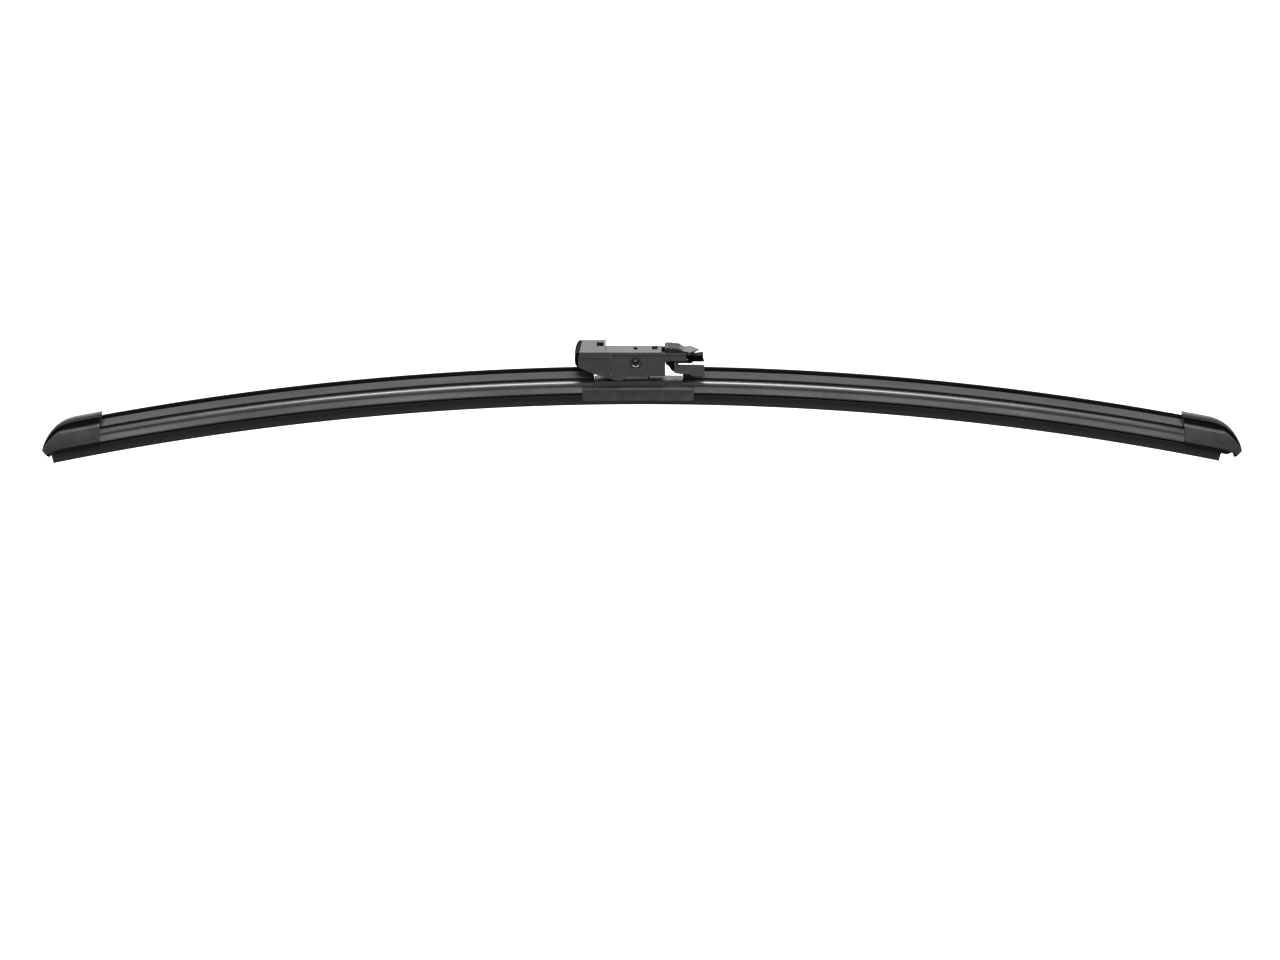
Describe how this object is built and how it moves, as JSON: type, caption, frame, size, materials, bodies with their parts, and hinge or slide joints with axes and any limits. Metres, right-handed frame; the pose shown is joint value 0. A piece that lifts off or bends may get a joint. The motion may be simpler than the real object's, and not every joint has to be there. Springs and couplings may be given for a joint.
{
  "type": "windshield wiper blade",
  "caption": "Long flat beam wiper blade with a spoiler and end caps, hinged on a quick-fit arm adapter with a sliding lock, a jaw and a release latch.",
  "frame": {"origin": "centre of the adapter's flat arm seat, above the middle of the blade", "axes": "+X along the blade towards the release latch, +Y to the blade's back, +Z out of the arm seat, away from the glass"},
  "size_m": [0.5968, 0.0144, 0.0618],
  "materials": {
    "rubber": "matte natural rubber",
    "rail_steel": "rolled spring steel",
    "spoiler_plastic": "satin extruded elastomer",
    "cap_plastic": "fine-grained moulding",
    "clip_steel": "bright stamped steel",
    "bracket_steel": "black coated steel",
    "rivet_steel": "turned steel",
    "bush_plastic": "natural acetal",
    "adapter_plastic": "fine-grained glass-filled nylon",
    "stop_rubber": "smooth elastomer",
    "latch_plastic": "fine-grained moulding"
  },
  "bodies": {
    "adapter": {"adapter_housing": "adapter_plastic", "lower_fork": "adapter_plastic", "arm_stop": "stop_rubber", "latch_spring": "clip_steel"},
    "blade": {"wiper_rubber": "rubber", "flexor_front": "rail_steel", "flexor_rear": "rail_steel", "spoiler_left": "spoiler_plastic", "spoiler_right": "spoiler_plastic", "end_cap_left": "cap_plastic", "end_cap_right": "cap_plastic", "end_clip_left": "clip_steel", "end_clip_right": "clip_steel", "connector_bracket": "bracket_steel", "connector_cover": "cap_plastic", "pivot_rivet": "rivet_steel", "pivot_bush_front": "bush_plastic", "pivot_bush_rear": "bush_plastic"},
    "slider": {"lock_slider": "adapter_plastic"},
    "latch": {"release_latch": "latch_plastic"}
  },
  "joints": [
    {"name": "blade_pivot", "type": "hinge", "parent": "adapter", "child": "blade", "pos_m": [-0.0032, 0, -0.0052], "axis": [0, 1, 0], "range_deg": [-5, 5]},
    {"name": "slider_lock", "type": "slide", "parent": "adapter", "child": "slider", "axis": [-1, 0, 0], "range_m": [0, 0.004]},
    {"name": "latch_press", "type": "hinge", "parent": "adapter", "child": "latch", "pos_m": [0.0126, 0, -0.00125], "axis": [0, 1, 0], "range_deg": [0, 2.5], "stiffness_Nm_per_rad": 0.4, "springref_deg": -5.73, "deforming": ["latch_spring"]}
  ]
}
